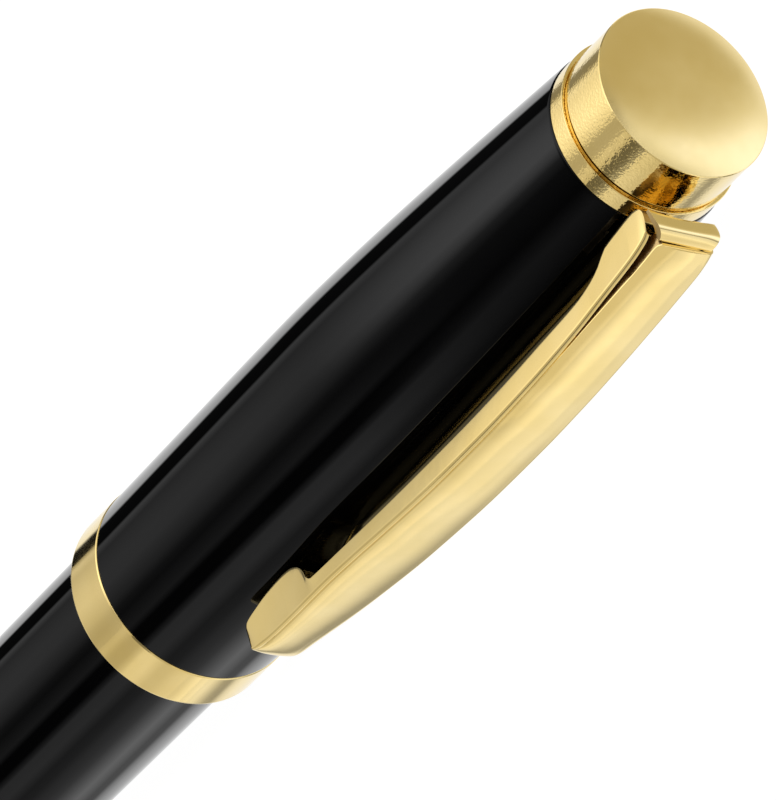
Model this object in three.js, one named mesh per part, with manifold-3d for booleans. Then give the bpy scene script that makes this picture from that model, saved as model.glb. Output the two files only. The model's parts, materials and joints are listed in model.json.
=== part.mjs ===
// Capped rollerball pen: black lacquered tubes with gold-plated fittings, closed, lying on a table.
// Millimetres, +Z up. The pen lies along X with its finial towards +X, and rests on the cap's belly,
// the clip's lower edge and, once let go, its tail. Inside the pen group, Y runs along the pen towards
// the finial and Z points from the axis through the middle of the clip. Every outline is a list of
// [radius, depth] pairs, and depth is measured from the finial's upper edge towards the tail.

import * as THREE from 'three';
import { mergeVertices } from 'three/addons/utils/BufferGeometryUtils.js';
import Module from 'manifold-3d';

const wasm = await Module();
wasm.setup();

// ---- driving dimensions -------------------------------------------------------------------------

const FINIAL_RADIUS = 5.05;
const FINIAL_DEPTH = 3.25;
const DOME_HEIGHT = 0.6;
const RING_RADIUS = 5.25;
const RING_TOP = 3.42;
const RING_BOTTOM = 4.58;

const CAP_TOP = 4.62;
const CAP_TOP_RADIUS = 5.3;
const BELLY_DEPTH = 33;
const BELLY_RADIUS = 6.5;
const BAND_TOP = 53.5;
const BAND_BOTTOM = 56.65;
const BAND_RADIUS = 6.42;
const CAP_LIP_RADIUS = 6.355;
const CAP_BORE_TOP = 4.7;
const CAP_BORE = 5.7;

const CLIP_START = 1.3;
const CLIP_END = 46.9;
const CLIP_HALF_WIDTH = 2;
const CLIP_OUTER = 10.1;
const CLIP_WALL = 0.7;
const ROOT_TOP = 4.95;
const ROOT_THICKNESS = 0.8;
const ROOT_HALF_WIDTH = 1.4;
const ROOT_REACH = 3;

const TIP_DEPTH = 16.5;
const BALL_RADIUS = 0.35;
const REFILL_LENGTH = 110;
const REFILL_RADIUS = 3;
const REFILL_SHOULDER = 39;

const BARREL_START = 56.8;
const BARREL_RADIUS = 5.67;
const BARREL_END = 131;
const BARREL_END_RADIUS = 4.5;
const THREAD_RADIUS = 4.45;
const THREAD_END = 64.5;
const TAIL_END = 137.4;

const WALL = 0.55;
const GAP = 0.05;
const FITTED_GAP = 0.1;
const STUD_RADIUS = 1.5;

const OUTSIDE_FACETS = 32;
const INSIDE_FACETS = 24;
const SMALL_FACETS = 16;

// ---- how the pen lies -----------------------------------------------------------------------------

// The clip's lower edge and the cap's belly touch the table together at this angle between the clip
// and straight down.
const CLIP_LEAN = Math.acos(BELLY_RADIUS / Math.hypot(CLIP_OUTER, CLIP_HALF_WIDTH))
  + Math.atan2(CLIP_HALF_WIDTH, CLIP_OUTER);

// Once let go, the pen tips back on to its barrel and rolls this much further towards its clip. The flats
// of the turned pieces are placed so that one of them then faces the table.
const REST_ROLL = THREE.MathUtils.degToRad(4.4);

// ---- materials --------------------------------------------------------------------------------------

function finish(color, roughness, metalness) {
  return new THREE.MeshStandardMaterial({ color, roughness, metalness });
}

const gold = finish(0xe0be6e, 0.22, 1);
const lacquer = finish(0x070708, 0.06, 0);
const brass = finish(0xb59a5c, 0.4, 1);
const steel = finish(0xb8bcc0, 0.3, 1);
const linerPlastic = finish(0x2a2a2c, 0.5, 0);
const refillPlastic = finish(0xd8d8d4, 0.45, 0);
const fibre = finish(0x24305c, 0.9, 0);
const carbide = finish(0x8d9094, 0.15, 1);

// ---- shape helpers ----------------------------------------------------------------------------------

// A piece turned about the pen's axis. The outline runs up the outside towards the finial, then back
// down the inside; a hollow piece's outline closes on itself and a solid one's ends lie on the axis.
function turned(name, material, outline, facets = INSIDE_FACETS) {
  const hollow = outline.every(([radius]) => radius > 0);
  const closed = hollow ? [...outline, outline[0]] : outline;
  const profile = closed.map(([radius, depth]) => new THREE.Vector2(radius, -depth));
  const firstEdge = CLIP_LEAN - REST_ROLL + Math.PI / facets;
  const geometry = new THREE.LatheGeometry(profile, facets, firstEdge);
  const mesh = new THREE.Mesh(geometry, material);
  mesh.name = name;
  return mesh;
}

// A ring or tube with plain square ends.
function sleeve(name, material, outer, inner, top, bottom, facets = INSIDE_FACETS) {
  return turned(name, material, [[outer, bottom], [outer, top], [inner, top], [inner, bottom]], facets);
}

// Points along a cubic curve through [radius, depth] pairs.
function sweep(start, startPull, endPull, end, steps) {
  const vectors = [start, startPull, endPull, end].map(([radius, depth]) => new THREE.Vector2(radius, depth));
  return new THREE.CubicBezierCurve(...vectors).getPoints(steps).map((p) => [p.x, p.y]);
}

function toManifold(geometry) {
  const bare = geometry.clone();
  bare.deleteAttribute('normal');
  bare.deleteAttribute('uv');
  const merged = mergeVertices(bare, 1e-4);
  const corners = merged.index.array;
  const triVerts = [];
  for (let i = 0; i < corners.length; i += 3) {
    const [a, b, c] = corners.slice(i, i + 3);
    if (a !== b && b !== c && c !== a) triVerts.push(a, b, c);
  }
  const vertProperties = new Float32Array(merged.attributes.position.array);
  return new wasm.Manifold(new wasm.Mesh({ numProp: 3, vertProperties, triVerts: new Uint32Array(triVerts) }));
}

function fromManifold(solid) {
  const { vertProperties, triVerts } = solid.getMesh();
  const geometry = new THREE.BufferGeometry();
  geometry.setAttribute('position', new THREE.BufferAttribute(new Float32Array(vertProperties), 3));
  geometry.setIndex(new THREE.BufferAttribute(new Uint32Array(triVerts), 1));
  geometry.computeVertexNormals();
  return geometry;
}

// A block centred across the clip, between two depths and two distances from the pen's axis.
function block(halfWidth, top, bottom, inner, outer) {
  const geometry = new THREE.BoxGeometry(2 * halfWidth, bottom - top, outer - inner);
  return geometry.translate(0, -(top + bottom) / 2, (inner + outer) / 2);
}

// ---- cap ----------------------------------------------------------------------------------------------

function finial() {
  const neck = 4.75;
  const boreTop = 0.9;
  const bore = STUD_RADIUS + GAP;
  const dome = new THREE.QuadraticBezierCurve(
    new THREE.Vector2(FINIAL_RADIUS, 0),
    new THREE.Vector2(0.65 * FINIAL_RADIUS, -DOME_HEIGHT),
    new THREE.Vector2(0, -DOME_HEIGHT),
  );
  return turned('finial', gold, [
    [0, boreTop], [bore, boreTop], [bore, RING_TOP - GAP],
    [neck, RING_TOP - GAP], [neck, FINIAL_DEPTH], [FINIAL_RADIUS, FINIAL_DEPTH],
    ...dome.getPoints(5).map((p) => [p.x, p.y]),
  ], OUTSIDE_FACETS);
}

function finialStud() {
  const top = 1;
  const bottom = 10.2;
  return turned('finial_stud', steel, [[0, bottom], [STUD_RADIUS, bottom], [STUD_RADIUS, top], [0, top]]);
}

function finialRing() {
  return sleeve('finial_ring', gold, RING_RADIUS, STUD_RADIUS + FITTED_GAP, RING_TOP, RING_BOTTOM, OUTSIDE_FACETS);
}

const BUSH_TOP = 6.1;
const BUSH_BOTTOM = 10.2;

function clipSpacer() {
  return sleeve('clip_spacer', brass, 2.5, STUD_RADIUS + FITTED_GAP, CAP_TOP, BUSH_TOP - GAP);
}

function capBush() {
  return sleeve('cap_bush', brass, CAP_BORE_TOP - FITTED_GAP, STUD_RADIUS + FITTED_GAP, BUSH_TOP, BUSH_BOTTOM);
}

const SPIGOT_RADIUS = 5.98;
const SPIGOT_END = 56.2;

// The cap's outside swells from its top to the belly, then eases in to the band.
function capOutside() {
  return [
    ...sweep([CAP_LIP_RADIUS, BAND_TOP - GAP], [6.41, 46], [BELLY_RADIUS, 39], [BELLY_RADIUS, BELLY_DEPTH], 3),
    ...sweep([BELLY_RADIUS, BELLY_DEPTH], [BELLY_RADIUS, 25], [5.85, 14.1], [CAP_TOP_RADIUS, CAP_TOP], 6).slice(1),
  ];
}

function capTube() {
  const tube = turned('cap_tube', lacquer, [
    [SPIGOT_RADIUS, SPIGOT_END], [SPIGOT_RADIUS, BAND_TOP - GAP], ...capOutside(),
    [CAP_BORE_TOP, CAP_TOP], [CAP_BORE_TOP, BUSH_BOTTOM], [CAP_BORE, 26], [CAP_BORE, SPIGOT_END],
  ], OUTSIDE_FACETS);
  const slotBottom = ROOT_TOP + ROOT_THICKNESS + 0.35;
  const slot = block(ROOT_HALF_WIDTH + 0.3, CAP_TOP - 1, slotBottom, CAP_BORE_TOP - 1, CAP_TOP_RADIUS + 1);
  tube.geometry = fromManifold(toManifold(tube.geometry).subtract(toManifold(slot)));
  return tube;
}

function capBand() {
  const lipTop = 56.25;
  const mouth = 5.3;
  return turned('cap_band', gold, [
    [BAND_RADIUS, BAND_BOTTOM], [CAP_LIP_RADIUS + 0.03, BAND_TOP], [SPIGOT_RADIUS + GAP, BAND_TOP],
    [SPIGOT_RADIUS + GAP, lipTop], [mouth, lipTop], [mouth, BAND_BOTTOM],
  ], OUTSIDE_FACETS);
}

const LINER_OUTER = CAP_BORE - 0.08;
const LINER_MOUTH = 5.22;
const LINER_TOP = 10.5;
const LINER_POCKET_TOP = 11.2;
const LINER_POCKET = 3.9;

function innerCap() {
  return turned('inner_cap', linerPlastic, [
    [0, LINER_POCKET_TOP], [LINER_POCKET, LINER_POCKET_TOP], [LINER_POCKET, 22],
    [LINER_MOUTH, 50], [LINER_MOUTH, SPIGOT_END - GAP], [LINER_OUTER, SPIGOT_END - GAP],
    [LINER_OUTER, 26.2], [CAP_BORE_TOP - FITTED_GAP, LINER_TOP], [0, LINER_TOP],
  ]);
}

// ---- clip ---------------------------------------------------------------------------------------------

// The clip's outer line, from the end wall over the crowned panel to the tip, as [depth, height].
function clipOuterLine() {
  const line = new THREE.Path();
  line.moveTo(CLIP_START, 6.9);
  line.lineTo(1.7, 8.1);
  line.bezierCurveTo(6, 9.2, 14, CLIP_OUTER, 23.5, CLIP_OUTER);
  line.bezierCurveTo(32, CLIP_OUTER, 41, 9.5, CLIP_END, 8.5);
  return line.getPoints(6);
}

// The flanks' inner line from the foot back to the root: foot, long hollow, then the deeper head.
function clipInnerLine() {
  const line = new THREE.Path();
  line.moveTo(CLIP_END, 8.2);
  line.bezierCurveTo(45.3, 6.65, 43.6, 6.62, 42, 6.62);
  line.bezierCurveTo(40, 6.62, 39.8, 8.35, 37.8, 8.45);
  line.bezierCurveTo(26, 8.7, 15, 8.4, 7.6, 7.4);
  line.lineTo(6.4, 6.2);
  line.lineTo(4.5, 5.9);
  line.lineTo(2.6, 5.95);
  return line.getPoints(4);
}

// A clip outline drawn as [depth, height or side] pairs becomes a shape in the pen's own axes.
function shapeOf(points, swap) {
  return new THREE.Shape(points.map((p) => new THREE.Vector2(swap ? p.y : -p.x, swap ? -p.x : p.y)));
}

// Seen from the side: extruded across the clip's width.
function sideSolid(points, halfWidth) {
  const geometry = new THREE.ExtrudeGeometry(shapeOf(points, false), { depth: 2 * halfWidth, bevelEnabled: false });
  geometry.translate(0, 0, -halfWidth);
  const axes = new THREE.Matrix4().makeBasis(
    new THREE.Vector3(0, 1, 0),
    new THREE.Vector3(0, 0, 1),
    new THREE.Vector3(1, 0, 0),
  );
  return geometry.applyMatrix4(axes);
}

// Seen from outside: a leaf with straight sides and a rounded tip, extruded through the clip's height.
function planSolid() {
  const half = new THREE.Path();
  half.moveTo(0, CLIP_HALF_WIDTH);
  half.lineTo(33, CLIP_HALF_WIDTH);
  half.bezierCurveTo(38, CLIP_HALF_WIDTH, 42.5, 1.9, 45, 1.35);
  half.bezierCurveTo(46.2, 1, CLIP_END, 0.5, CLIP_END, 0);
  const right = half.getPoints(4);
  const left = right.slice(0, -1).reverse().map((p) => new THREE.Vector2(p.x, -p.y));
  const outline = shapeOf([...right, ...left], true);
  const height = 20;
  return new THREE.ExtrudeGeometry(outline, { depth: height, bevelEnabled: false });
}

// The clip is folded sheet: under its panel a channel runs from the head to the foot.
function channelSolid() {
  const roof = clipOuterLine().filter((p) => p.x > 8 && p.x < 40);
  const top = roof.map((p) => new THREE.Vector2(p.x, p.y - CLIP_WALL));
  const points = [new THREE.Vector2(roof[0].x, 6), ...top, new THREE.Vector2(roof[roof.length - 1].x, 6)];
  return sideSolid(points, CLIP_HALF_WIDTH - CLIP_WALL);
}

function clip() {
  const side = toManifold(sideSolid([...clipOuterLine(), ...clipInnerLine()], CLIP_HALF_WIDTH + 1));
  const plan = toManifold(planSolid());
  const channel = toManifold(channelSolid());
  const root = toManifold(block(ROOT_HALF_WIDTH, ROOT_TOP, ROOT_TOP + ROOT_THICKNESS, ROOT_REACH, 7));
  const solid = side.intersect(plan).subtract(channel).add(root);
  const mesh = new THREE.Mesh(fromManifold(solid), gold);
  mesh.name = 'clip';
  return mesh;
}

// ---- writing section ----------------------------------------------------------------------------------

const CONE_FRONT = 19.8;
const CONE_BACK = 27.5;
const GRIP_END = 51.6;
const CONE_BORE = 2.45;
const CONE_SPIGOT = 3;
const CORE_FRONT = 36.6;
const CORE_RADIUS = 3.55;

function noseCone() {
  return turned('nose_cone', gold, [
    [CONE_SPIGOT, 32], [CONE_SPIGOT, CONE_BACK], [3.5, CONE_BACK], [2.75, 23], [1.75, CONE_FRONT],
    [1.4, CONE_FRONT], [1.4, 21.8], [CONE_BORE, 24], [CONE_BORE, 32],
  ]);
}

function gripSleeve() {
  const step = CORE_FRONT - GAP;
  return turned('grip_sleeve', lacquer, [
    [4.95, GRIP_END], [4.35, 40], [3.8, 32], [3.55, CONE_BACK + GAP],
    [CONE_SPIGOT + FITTED_GAP, CONE_BACK + GAP], [CONE_SPIGOT + FITTED_GAP, step],
    [CORE_RADIUS + GAP, step], [CORE_RADIUS + GAP, GRIP_END],
  ], OUTSIDE_FACETS);
}

function sectionCore() {
  const flange = 4.3;
  const bore = REFILL_RADIUS + 0.12;
  return turned('section_core', brass, [
    [THREAD_RADIUS, THREAD_END], [THREAD_RADIUS, BARREL_START], [flange, BARREL_START],
    [flange, GRIP_END + GAP], [CORE_RADIUS, GRIP_END + GAP], [CORE_RADIUS, CORE_FRONT],
    [CONE_BORE, CORE_FRONT], [CONE_BORE, REFILL_SHOULDER - GAP], [bore, REFILL_SHOULDER - GAP], [bore, THREAD_END],
  ]);
}

function sectionCollar() {
  return sleeve('section_collar', gold, 5.12, 4.36, GRIP_END + GAP, BARREL_START - FITTED_GAP, OUTSIDE_FACETS);
}

// ---- refill -------------------------------------------------------------------------------------------

const REFILL_END = TIP_DEPTH + REFILL_LENGTH;
const FEED_RADIUS = 0.6;
const NOSE_RADIUS = 2.3;
const NOSE_FRONT = 22.3;
const TIP_BACK = 24;
const TIP_RADIUS = 1.15;
const PLUG_RADIUS = REFILL_RADIUS - 0.35;

function refillTip() {
  const rim = TIP_DEPTH + 0.25;
  const socket = BALL_RADIUS + GAP;
  const socketEnd = TIP_DEPTH + 2 * BALL_RADIUS + GAP;
  return turned('refill_tip', steel, [
    [0, TIP_BACK], [TIP_RADIUS, TIP_BACK], [TIP_RADIUS, 20.4], [0.65, 18.6], [0.52, rim],
    [socket, rim], [socket, socketEnd], [0, socketEnd],
  ], SMALL_FACETS);
}

function refillNose() {
  const bore = FEED_RADIUS + FITTED_GAP;
  return turned('refill_nose', refillPlastic, [
    [PLUG_RADIUS - GAP, 43], [PLUG_RADIUS - GAP, REFILL_SHOULDER + GAP], [NOSE_RADIUS, REFILL_SHOULDER + GAP],
    [NOSE_RADIUS, 25.2], [1.6, NOSE_FRONT], [TIP_RADIUS + GAP, NOSE_FRONT],
    [TIP_RADIUS + GAP, TIP_BACK + GAP], [bore, TIP_BACK + GAP], [bore, 43],
  ], SMALL_FACETS);
}

function refillTube() {
  return sleeve('refill_tube', steel, REFILL_RADIUS, PLUG_RADIUS, REFILL_SHOULDER + FITTED_GAP, 125, INSIDE_FACETS);
}

function rod(name, material, radius, top, bottom) {
  return turned(name, material, [[0, bottom], [radius, bottom], [radius, top], [0, top]], SMALL_FACETS);
}

function refillPlug() {
  const flangeTop = 125 + GAP;
  return turned('refill_plug', refillPlastic, [
    [0, REFILL_END], [2.7, REFILL_END], [2.9, flangeTop], [PLUG_RADIUS - GAP, flangeTop],
    [PLUG_RADIUS - GAP, 122.5], [0, 122.5],
  ], SMALL_FACETS);
}

function writingBall() {
  const ball = new THREE.Mesh(new THREE.SphereGeometry(BALL_RADIUS, 12, 8), carbide);
  ball.name = 'writing_ball';
  ball.position.y = -(TIP_DEPTH + BALL_RADIUS);
  return ball;
}

// ---- spring -------------------------------------------------------------------------------------------

const SPRING_TOP = REFILL_END + 0.1;
const SPRING_BOTTOM = 131.2;
const SPRING_RADIUS = 2;
const WIRE_RADIUS = 0.22;
const CUP_TOP = 129.4;
const CUP_BOTTOM = 132.4;

class Helix extends THREE.Curve {
  constructor(radius, turns, top, bottom) {
    super();
    Object.assign(this, { radius, turns, top, bottom });
  }

  getPoint(t) {
    const angle = 2 * Math.PI * this.turns * t;
    const depth = this.top + (this.bottom - this.top) * t;
    return new THREE.Vector3(this.radius * Math.sin(angle), -depth, this.radius * Math.cos(angle));
  }
}

function refillSpring() {
  const turns = 4.5;
  const path = new Helix(SPRING_RADIUS, turns, SPRING_TOP + WIRE_RADIUS, SPRING_BOTTOM - WIRE_RADIUS);
  const wire = new THREE.Shape().absarc(0, 0, WIRE_RADIUS, 0, 2 * Math.PI);
  const geometry = new THREE.ExtrudeGeometry(wire, { steps: 54, curveSegments: 3, extrudePath: path });
  const mesh = new THREE.Mesh(geometry, steel);
  mesh.name = 'refill_spring';
  return mesh;
}

function springCup() {
  const outer = 2.8;
  const floorTop = SPRING_BOTTOM + GAP;
  return turned('spring_cup', refillPlastic, [
    [0, CUP_BOTTOM], [outer, CUP_BOTTOM], [outer, CUP_TOP], [2.4, CUP_TOP], [2.4, floorTop], [0, floorTop],
  ], SMALL_FACETS);
}

// ---- barrel -------------------------------------------------------------------------------------------

const INSERT_RADIUS = BARREL_RADIUS - WALL;
const TAPER_START = 75;
const TAIL_SPIGOT = 3.5;
const RING_LENGTH = 1.1;

// Straight behind the cap, then a slow taper to the tail.
function barrelOutside() {
  return [
    ...sweep([BARREL_END_RADIUS, BARREL_END], [4.95, 114], [BARREL_RADIUS, 98], [BARREL_RADIUS, TAPER_START], 5),
    [BARREL_RADIUS, BARREL_START],
  ];
}

function barrelTube() {
  return turned('barrel_tube', lacquer, [
    ...barrelOutside(),
    [INSERT_RADIUS, BARREL_START], [INSERT_RADIUS, TAPER_START], [TAIL_SPIGOT + FITTED_GAP, 126],
    [TAIL_SPIGOT + FITTED_GAP, BARREL_END],
  ], OUTSIDE_FACETS);
}

function barrelInsert() {
  return sleeve('barrel_insert', brass, INSERT_RADIUS - GAP, THREAD_RADIUS + FITTED_GAP, BARREL_START + 0.2, 66.5);
}

function tailRing() {
  const top = BARREL_END + GAP;
  return sleeve('tail_ring', gold, 4.62, TAIL_SPIGOT + GAP, top, top + RING_LENGTH, OUTSIDE_FACETS);
}

function tailCap() {
  const flangeTop = BARREL_END + RING_LENGTH + 2 * GAP;
  const pocket = 2.95;
  return turned('tail_cap', gold, [
    [0, TAIL_END], [3.7, TAIL_END], [3.95, TAIL_END - 0.25], [4.45, flangeTop], [TAIL_SPIGOT, flangeTop],
    [TAIL_SPIGOT, 127.5], [pocket, 127.5], [pocket, CUP_BOTTOM + GAP], [0, CUP_BOTTOM + GAP],
  ], OUTSIDE_FACETS);
}

// ---- assembly -----------------------------------------------------------------------------------------

const cap = new THREE.Group();
cap.add(finial(), finialStud(), finialRing(), clipSpacer(), capBush(), capTube(), capBand(), innerCap(), clip());

const section = new THREE.Group();
section.add(noseCone(), gripSleeve(), sectionCore(), sectionCollar());

const refill = new THREE.Group();
refill.add(
  refillTip(),
  refillNose(),
  refillTube(),
  refillPlug(),
  rod('ink_reservoir', fibre, PLUG_RADIUS - FITTED_GAP, 43.3, 122.3),
  rod('ink_feed', fibre, FEED_RADIUS, TIP_BACK + FITTED_GAP, 43.2),
  writingBall(),
);

const barrel = new THREE.Group();
barrel.add(barrelTube(), barrelInsert(), tailRing(), tailCap(), refillSpring(), springCup());

// The pen's own axes laid down: Y along +X, Z through the clip, leaning from straight down.
const pen = new THREE.Group();
pen.add(cap, section, refill, barrel);
const alongPen = new THREE.Vector3(1, 0, 0);
const throughClip = new THREE.Vector3(0, -Math.sin(CLIP_LEAN), -Math.cos(CLIP_LEAN));
const acrossClip = new THREE.Vector3().crossVectors(alongPen, throughClip);
pen.quaternion.setFromRotationMatrix(new THREE.Matrix4().makeBasis(acrossClip, alongPen, throughClip));

// The origin is on the table, under the middle of the pen's box.
const box = new THREE.Box3().setFromObject(pen, true);
const middle = box.getCenter(new THREE.Vector3());
pen.position.set(-middle.x, -middle.y, -box.min.z);

const object = new THREE.Group();
object.add(pen);

export default object;
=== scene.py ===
"""Looks of a capped rollerball pen: black lacquered tubes with gold-plated fittings and a folded clip.

Every piece is built in the pen's own measures, in millimetres: depth runs along the pen from the finial's
edge towards the tail, out is the distance from the pen's axis through the middle of the clip, and side is the
distance across the clip. Outlines of turned pieces are lists of (radius, depth) points, and a third number
is the radius of the rounding on that corner.
"""

import json
import math

import bmesh
import bpy
from mathutils import Matrix, Vector

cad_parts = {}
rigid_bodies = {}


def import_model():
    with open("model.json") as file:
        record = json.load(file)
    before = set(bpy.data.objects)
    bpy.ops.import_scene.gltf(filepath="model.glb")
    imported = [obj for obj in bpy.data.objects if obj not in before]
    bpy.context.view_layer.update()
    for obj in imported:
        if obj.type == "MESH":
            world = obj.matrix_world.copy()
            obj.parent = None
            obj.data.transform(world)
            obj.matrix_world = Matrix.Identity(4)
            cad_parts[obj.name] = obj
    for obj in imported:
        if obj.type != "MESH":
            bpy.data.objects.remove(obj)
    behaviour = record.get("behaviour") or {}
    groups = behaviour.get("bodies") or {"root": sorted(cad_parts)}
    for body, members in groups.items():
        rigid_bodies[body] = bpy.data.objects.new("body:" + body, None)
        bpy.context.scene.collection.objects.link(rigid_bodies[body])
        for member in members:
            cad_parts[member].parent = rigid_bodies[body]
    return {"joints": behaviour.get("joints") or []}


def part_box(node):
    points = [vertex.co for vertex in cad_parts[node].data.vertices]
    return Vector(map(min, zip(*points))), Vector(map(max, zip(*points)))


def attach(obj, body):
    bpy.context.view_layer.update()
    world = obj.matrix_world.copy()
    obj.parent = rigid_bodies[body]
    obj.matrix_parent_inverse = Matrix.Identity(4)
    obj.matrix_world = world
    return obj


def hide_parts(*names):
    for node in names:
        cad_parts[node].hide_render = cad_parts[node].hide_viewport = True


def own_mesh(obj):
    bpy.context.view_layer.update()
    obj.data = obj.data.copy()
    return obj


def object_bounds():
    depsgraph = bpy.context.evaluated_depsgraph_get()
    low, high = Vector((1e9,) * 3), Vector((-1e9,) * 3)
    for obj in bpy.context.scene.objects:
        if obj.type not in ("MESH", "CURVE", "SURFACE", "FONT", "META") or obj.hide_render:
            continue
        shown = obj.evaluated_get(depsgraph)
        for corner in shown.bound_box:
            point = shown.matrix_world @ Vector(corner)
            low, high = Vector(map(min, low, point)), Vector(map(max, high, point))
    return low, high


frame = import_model()
cad_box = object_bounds()

# ---- the pen's own axes, taken from the frame ------------------------------------------------------------

MM = 0.001
DOME_HEIGHT = 0.6

ALONG = Vector((1, 0, 0))
CLIP_HINGE = next(joint for joint in frame["joints"] if joint["name"] == "clip_flex")
ACROSS = -Vector(CLIP_HINGE["axis"])
OUT = ACROSS.cross(ALONG)

finial_low, finial_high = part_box("finial")
# The middle of the finial's edge, where depth is 0.
EDGE = Vector((
    finial_high.x - DOME_HEIGHT * MM,
    (finial_low.y + finial_high.y) / 2,
    (finial_low.z + finial_high.z) / 2,
))


def place(depth, out, side):
    """The point at that depth along the pen, distance out through the clip and distance across it."""
    return EDGE + MM * (OUT * out + ACROSS * side - ALONG * depth)


def radius_of(node):
    """A turned node's largest radius."""
    low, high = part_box(node)
    return (high.z - low.z) / 2 / MM


def top_of(node):
    """The depth at which a node starts."""
    return (EDGE.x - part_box(node)[1].x) / MM


def end_of(node):
    """The depth at which a node ends."""
    return (EDGE.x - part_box(node)[0].x) / MM


# ---- camera ----------------------------------------------------------------------------------------------

# Angles are in degrees, everything else in millimetres. The finial's edge lies CAMERA_AHEAD in front of the
# camera, EDGE_RIGHT right of the picture's middle and EDGE_UP above it.
CAMERA_AZIMUTH = 47.97
CAMERA_ELEVATION = 10.21
CAMERA_ROLL = -55.99
CAMERA_LENS = 337.7
CAMERA_SENSOR = 36
CAMERA_AHEAD = 383.335
EDGE_RIGHT = 15.12
EDGE_UP = 15.73


def make_camera():
    """A long lens from the photograph's viewing angle."""
    azimuth = math.radians(CAMERA_AZIMUTH)
    elevation = math.radians(CAMERA_ELEVATION)
    roll = math.radians(CAMERA_ROLL)
    back = Vector((
        math.sin(azimuth) * math.cos(elevation),
        -math.cos(azimuth) * math.cos(elevation),
        math.sin(elevation),
    ))
    level = Vector((math.cos(azimuth), math.sin(azimuth), 0))
    upright = back.cross(level)
    right = level * math.cos(roll) + upright * math.sin(roll)
    up = back.cross(right)
    data = bpy.data.cameras.new("camera")
    data.lens = CAMERA_LENS
    data.sensor_width = CAMERA_SENSOR
    data.sensor_fit = "VERTICAL"
    data.sensor_height = CAMERA_SENSOR
    data.clip_start = 0.01
    camera = bpy.data.objects.new("camera", data)
    bpy.context.scene.collection.objects.link(camera)
    turn = Matrix((right, up, back)).transposed().to_4x4()
    spot = EDGE + MM * (back * CAMERA_AHEAD - right * EDGE_RIGHT - up * EDGE_UP)
    camera.matrix_world = Matrix.Translation(spot) @ turn
    bpy.context.scene.camera = camera


# ---- materials -------------------------------------------------------------------------------------------

# Nearly all values of a noise texture lie between these two.
NOISE_LOW = 0.3
NOISE_HIGH = 0.7
GRAIN_SIZE = 0.06


def link(tree, start, start_socket, end, end_socket):
    """Joins a node's output to another node's input."""
    tree.links.new(start.outputs[start_socket], end.inputs[end_socket])


def new_material(name):
    """A node material, its tree, its shader and the node that gives textures the point in metres."""
    material = bpy.data.materials.new(name)
    material.use_nodes = True
    tree = material.node_tree
    shader = tree.nodes["Principled BSDF"]
    place_node = tree.nodes.new("ShaderNodeTexCoord")
    return material, tree, shader, place_node


def noise(tree, place_node, size, detail=2.0, stretch=(1, 1, 1)):
    """Soft noise whose spots are about size millimetres across."""
    mapping = tree.nodes.new("ShaderNodeMapping")
    mapping.inputs["Scale"].default_value = stretch
    texture = tree.nodes.new("ShaderNodeTexNoise")
    texture.inputs["Scale"].default_value = 1 / (size * MM)
    texture.inputs["Detail"].default_value = detail
    link(tree, place_node, "Object", mapping, "Vector")
    link(tree, mapping, "Vector", texture, "Vector")
    return texture


def gloss(tree, texture, shader, low, high):
    """Roughness between low and high."""
    node = tree.nodes.new("ShaderNodeMapRange")
    node.inputs["From Min"].default_value = NOISE_LOW
    node.inputs["From Max"].default_value = NOISE_HIGH
    node.inputs["To Min"].default_value = low
    node.inputs["To Max"].default_value = high
    link(tree, texture, "Fac", node, "Value")
    link(tree, node, "Result", shader, "Roughness")


def tint(tree, texture, shader, dark, light):
    """Base colour between two close tones."""
    ramp = tree.nodes.new("ShaderNodeValToRGB")
    ramp.color_ramp.elements[0].position = NOISE_LOW
    ramp.color_ramp.elements[1].position = NOISE_HIGH
    ramp.color_ramp.elements[0].color = (*dark, 1)
    ramp.color_ramp.elements[1].color = (*light, 1)
    link(tree, texture, "Fac", ramp, "Fac")
    link(tree, ramp, "Color", shader, "Base Color")


def bump(tree, texture, shader, height, before=None):
    """Relief of that height in millimetres, on top of the relief before it."""
    node = tree.nodes.new("ShaderNodeBump")
    node.inputs["Strength"].default_value = 1
    node.inputs["Distance"].default_value = height * MM
    link(tree, texture, "Fac", node, "Height")
    if before:
        link(tree, before, "Normal", node, "Normal")
    link(tree, node, "Normal", shader, "Normal")
    return node


def metal(name, dark, light, roughness, peel_size, peel_height, grain_height=0.0):
    """Plated or bare metal: a slow change of tone, uneven gloss, soft orange peel and a finer grain."""
    material, tree, shader, place_node = new_material(name)
    shader.inputs["Metallic"].default_value = 1
    tint(tree, noise(tree, place_node, 3.0), shader, dark, light)
    gloss(tree, noise(tree, place_node, 0.8, 3), shader, *roughness)
    peel = bump(tree, noise(tree, place_node, peel_size, 1.0), shader, peel_height)
    if grain_height:
        bump(tree, noise(tree, place_node, GRAIN_SIZE, 2.0), shader, grain_height, before=peel)
    return material


def lacquer_material():
    """Black lacquer under a deep polish, with the faintest waviness and hazy patches."""
    material, tree, shader, place_node = new_material("black_lacquer_look")
    tint(tree, noise(tree, place_node, 6.0), shader, (0.0006, 0.0006, 0.0007), (0.0013, 0.0013, 0.0015))
    gloss(tree, noise(tree, place_node, 2.0, 4), shader, 0.015, 0.035)
    shader.inputs["IOR"].default_value = 1.5
    bump(tree, noise(tree, place_node, 1.6, 1.0), shader, 0.0006)
    return material


def plastic(name, dark, light, roughness, peel_height):
    """Moulded plastic: slight mottling, a semi-gloss skin and a fine spark texture."""
    material, tree, shader, place_node = new_material(name)
    tint(tree, noise(tree, place_node, 2.0), shader, dark, light)
    gloss(tree, noise(tree, place_node, 0.5, 3), shader, *roughness)
    bump(tree, noise(tree, place_node, 0.15, 2.0), shader, peel_height)
    return material


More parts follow.
